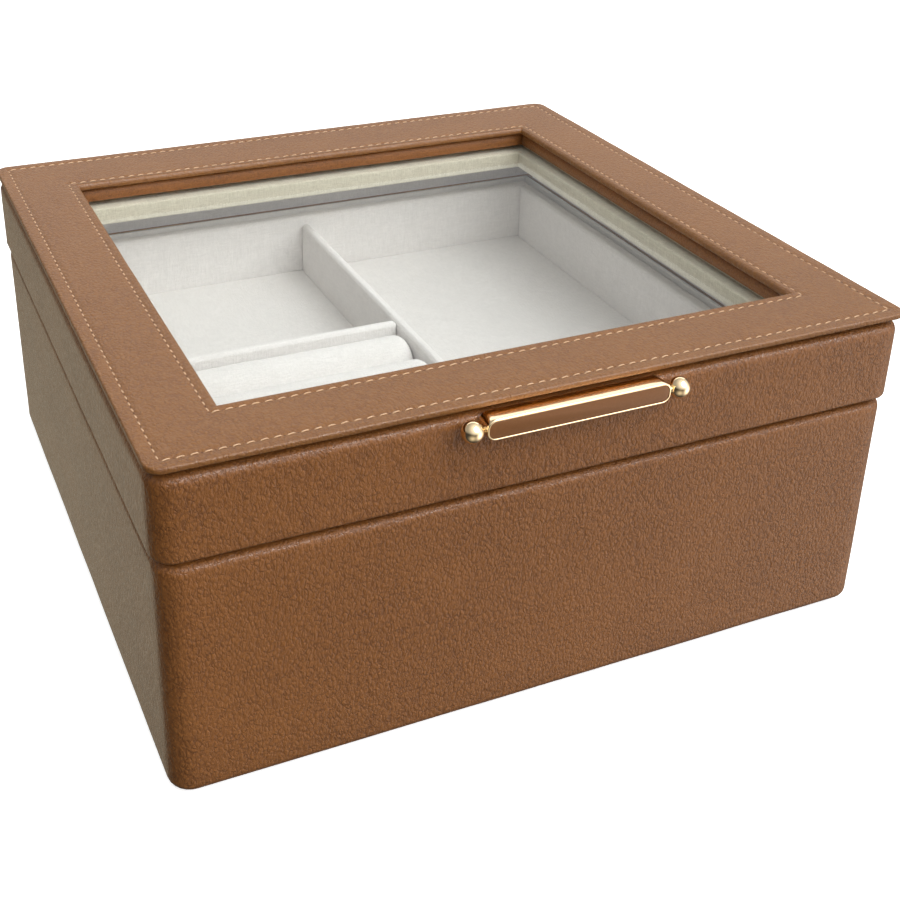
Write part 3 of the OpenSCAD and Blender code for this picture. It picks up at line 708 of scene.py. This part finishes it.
def handle():
    """The gold bar with its leather inlay, and a ball at each end."""
    half_w = (bar_hi.x - bar_lo.x) / 2
    half_h = (bar_hi.z - bar_lo.z) / 2
    depth = bar_hi.y - bar_lo.y
    middle = Matrix.Translation((0, bar_hi.y, (bar_lo.z + bar_hi.z) / 2))
    facing = middle @ Matrix.Rotation(math.radians(90), 4, "X")
    radius = 2.9 * MM
    rim = half_w - (inlay_hi.x - inlay_lo.x) / 2
    recess = 0.7 * MM
    fine = 0.1 * MM
    soft = 0.45 * MM
    turn = [(soft + x, depth - soft + y) for x, y in arc(0, 0, soft, 180, 90, 5)]
    crown = [(0.42 * MM * (1 - t) ** 1.6, (depth - 1.3 * MM) * t) for t in (0, 0.2, 0.4, 0.6, 0.8, 1)]
    steps = [*crown, *turn, (rim - fine, depth), (rim, depth - fine), (rim, depth - recess)]
    loops = [(half_w - inset, half_h - inset, radius - inset, out) for inset, out in steps]
    bar = loft("handle_body", loops, closed=False, cell=4 * MM, caps=True, matrix=facing, sharp=24)
    keep(bar, gold, "lid", ["handle_bar"])
    half_w = (inlay_hi.x - inlay_lo.x) / 2
    half_h = (inlay_hi.z - inlay_lo.z) / 2
    floor = depth - recess
    front = bar_hi.y - inlay_lo.y
    radius -= rim
    loops = [(half_w, half_h, radius, floor), (half_w, half_h, radius, front - 0.25 * MM),
             (half_w - 0.08 * MM, half_h - 0.08 * MM, radius, front - 0.08 * MM),
             (half_w - 0.3 * MM, half_h - 0.3 * MM, radius, front)]
    inlay = loft("handle_inlay_skin", loops, closed=False, cell=3 * MM, caps=True, matrix=facing)
    keep(inlay, inlay_leather, "lid", ["handle_inlay"])
    for side, sign in (("left", -1), ("right", 1)):
        lo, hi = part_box("handle_ball_" + side)
        ball_r = (hi.z - lo.z) / 2
        outer = hi.x if sign > 0 else lo.x
        centre = Vector((outer - sign * ball_r, (lo.y + hi.y) / 2, (lo.z + hi.z) / 2))
        neck = abs(centre.x) - (bar_hi.x - 2 * MM)
        neck_r = 1.1 * MM
        start = math.degrees(math.asin(neck_r / ball_r)) + 7
        ball = [(ball_r * math.sin(math.radians(a)), -ball_r * math.cos(math.radians(a)))
                for a in [start + (180 - start) * i / 26 for i in range(27)]]
        foot = ball[0][1]
        collar = [(neck_r, -neck), (neck_r, foot - 0.35 * MM), (neck_r + 0.12 * MM, foot - 0.12 * MM)]
        piece = lathe("handle_knob_" + side, collar + ball, centre, (sign, 0, 0))
        keep(piece, gold, "lid", ["handle_ball_" + side])


# ---------- carried-over CAD parts ----------

def dress(look, names):
    """Gives CAD nodes that stay as they are their material."""
    for name in names:
        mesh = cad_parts[name].data
        mesh.materials.clear()
        mesh.materials.append(look)


def wall_boards():
    """The wall boards, their top and bottom faces kept within the turns of the leather round them."""
    for body, drop, lift in (("base", 1.2 * MM, 0), ("lid", 2.7 * MM, 0.8 * MM)):
        for side in SIDES:
            node = f"{body}_{side}_board"
            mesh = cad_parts[node].data.copy()
            heights = [v.co.z for v in mesh.vertices]
            low, high = min(heights), max(heights)
            for v in mesh.vertices:
                if v.co.z > high - 0.1 * MM:
                    v.co.z -= drop
                elif v.co.z < low + 0.1 * MM:
                    v.co.z += lift
            piece = bpy.data.objects.new(f"{body}_{side}_wall", mesh)
            bpy.context.scene.collection.objects.link(piece)
            keep(piece, board, body, [node])


def carried_over():
    """CAD nodes that need no reshaping."""
    dress(board, ["top_frame_board", "base_bottom_board"])
    dress(brass, [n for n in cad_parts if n.startswith("hinge_") or n == "handle_screws"])


# ---------- stage, light and camera ----------

# reflector cards below the horizon, seen only in reflections: direction, sharpness, power, colour
CARDS = (
    ((-0.16, 0.85, -0.50), 12.0, 0.9, (1.0, 0.92, 0.68)),
    ((0.78, -0.55, -0.30), 8.0, 3.0, (1.0, 0.93, 0.86)),
    ((-0.30, -0.75, -0.60), 10.0, 0.8, (1.0, 0.92, 0.75)),
)


def paper_floor():
    """A plain pale floor that gives off a little light, so that it stays white round the case."""
    size = 9.0
    verts = [(-size, -size, 0), (size, -size, 0), (size, size, 0), (-size, size, 0)]
    floor = mesh_object("floor", verts, [(0, 1, 2, 3)])
    mat, tree, shader = material("floor_paper")
    mottle = noise_node(tree, coordinates(tree), 0.004, 2.0)
    tone = blend_colour(tree, mottle.outputs["Fac"], (0.79, 0.79, 0.79), (0.81, 0.81, 0.81))
    tree.links.new(tone, shader.inputs["Base Color"])
    shader.inputs["Roughness"].default_value = 0.9
    shader.inputs["Specular IOR Level"].default_value = 0.1
    shader.inputs["Emission Color"].default_value = (1, 1, 1, 1)
    shader.inputs["Emission Strength"].default_value = 0.68
    floor.data.materials.append(mat)
    floor.visible_diffuse = False
    floor.visible_glossy = False


def sky_lobe(tree, heading, direction, sharpness):
    """A patch of the sky that fades away from one direction."""
    inputs = {0: heading, 1: Vector(direction).normalized()}
    towards = add(tree, "ShaderNodeVectorMath", inputs, operation="DOT_PRODUCT").outputs["Value"]
    return math_node(tree, "POWER", math_node(tree, "MAXIMUM", towards, 0.0), sharpness)


def studio():
    """Soft light from a dim dome with one broad glow, reflector cards, and a white wall behind."""
    world = bpy.data.worlds.new("studio")
    bpy.context.scene.world = world
    world.use_nodes = True
    tree = world.node_tree
    sky = tree.nodes["Background"]
    sky.inputs["Color"].default_value = (1.0, 0.995, 0.985, 1)
    heading = add(tree, "ShaderNodeTexCoord").outputs["Generated"]
    height = add(tree, "ShaderNodeSeparateXYZ", {0: heading}).outputs["Z"]
    glow = sky_lobe(tree, heading, (0.36, -0.60, 0.71), 2.0)
    glow = math_node(tree, "MULTIPLY", glow, ramp(tree, height, -0.12, 0.12))
    dome = ramp(tree, height, 0.02, 0.45, 0.05, 0.40)
    strength = math_node(tree, "ADD", math_node(tree, "MULTIPLY", glow, 1.35), dome)
    tree.links.new(strength, sky.inputs["Strength"])
    total = sky.outputs[0]
    rays = add(tree, "ShaderNodeLightPath").outputs
    for direction, sharpness, power, colour in CARDS:
        card = sky_lobe(tree, heading, direction, sharpness)
        card = math_node(tree, "MULTIPLY", math_node(tree, "MULTIPLY", card, rays["Is Glossy Ray"]), power)
        card = add(tree, "ShaderNodeBackground", {"Color": (*colour, 1), "Strength": card})
        total = add(tree, "ShaderNodeAddShader", {0: total, 1: card.outputs[0]}).outputs[0]
    wall = add(tree, "ShaderNodeBackground", {"Color": (1, 1, 1, 1), "Strength": 1.0}).outputs[0]
    total = add(tree, "ShaderNodeMixShader", {0: rays["Is Camera Ray"], 1: total, 2: wall}).outputs[0]
    tree.links.new(total, tree.nodes["World Output"].inputs["Surface"])


def softbox(name, place, target, width, depth, power):
    """A white rectangular lamp that faces its target."""
    light = bpy.data.lights.new(name, "AREA")
    light.shape = "RECTANGLE"
    light.size, light.size_y = width, depth
    light.energy = power
    obj = bpy.data.objects.new(name, light)
    bpy.context.scene.collection.objects.link(obj)
    obj.location = place
    obj.rotation_euler = (Vector(target) - Vector(place)).to_track_quat("-Z", "Y").to_euler()


def sun(name, elevation, azimuth, spread, strength):
    """A wide soft lamp; azimuth 0 stands in front of the case and 90 to its right."""
    light = bpy.data.lights.new(name, "SUN")
    light.energy = strength
    light.angle = math.radians(spread)
    obj = bpy.data.objects.new(name, light)
    bpy.context.scene.collection.objects.link(obj)
    a, e = math.radians(azimuth), math.radians(elevation)
    towards = Vector((math.sin(a) * math.cos(e), -math.cos(a) * math.cos(e), math.sin(e)))
    obj.rotation_euler = towards.to_track_quat("Z", "Y").to_euler()
    return obj


def camera():
    """A lens a little above the case, to the left of its front corner."""
    data = bpy.data.cameras.new("camera")
    cam = bpy.data.objects.new("camera", data)
    bpy.context.scene.collection.objects.link(cam)
    forward = Vector((0.37155, 0.82601, -0.42387)).normalized()
    right = Vector((0.91466, -0.40396, 0.01456))
    right = (right - forward * right.dot(forward)).normalized()
    up = right.cross(forward)
    turn = Matrix((right, up, -forward)).transposed().to_4x4()
    cam.matrix_world = Matrix.Translation((-0.19068, -0.42935, 0.30890)) @ turn
    data.sensor_width = 36
    data.lens = 54.715
    data.shift_x = 0.0483
    data.shift_y = -0.169
    data.clip_start, data.clip_end = 0.02, 20
    bpy.context.scene.camera = cam


leather_skins()
top_frame()
stitch_row("outer_stitching", top_hi.x - STITCH_EDGE, (top_hi.y - top_lo.y) / 2 - STITCH_EDGE)
stitch_row("inner_stitching", HOLE_W + STITCH_WINDOW, HOLE_D + STITCH_WINDOW, HOLE_Y)
window_parts()
linings()
for roll in range(1, 6):
    ring_roll(roll)
handle()
wall_boards()
carried_over()
paper_floor()
studio()
sun("key", 44, 33, 55, 1.32)
glint = sun("glint", 60, 47, 8, 5.0)
glint.visible_diffuse = False
rear = sun("rear", 8, 200, 60, 0.8)
rear.visible_glossy = False
softbox("back_panel", (0.6, 1.35, 1.0), (0.1, 0, 0.1), 2.6, 1.1, 11)
camera()
bpy.context.scene.view_settings.view_transform = "Standard"
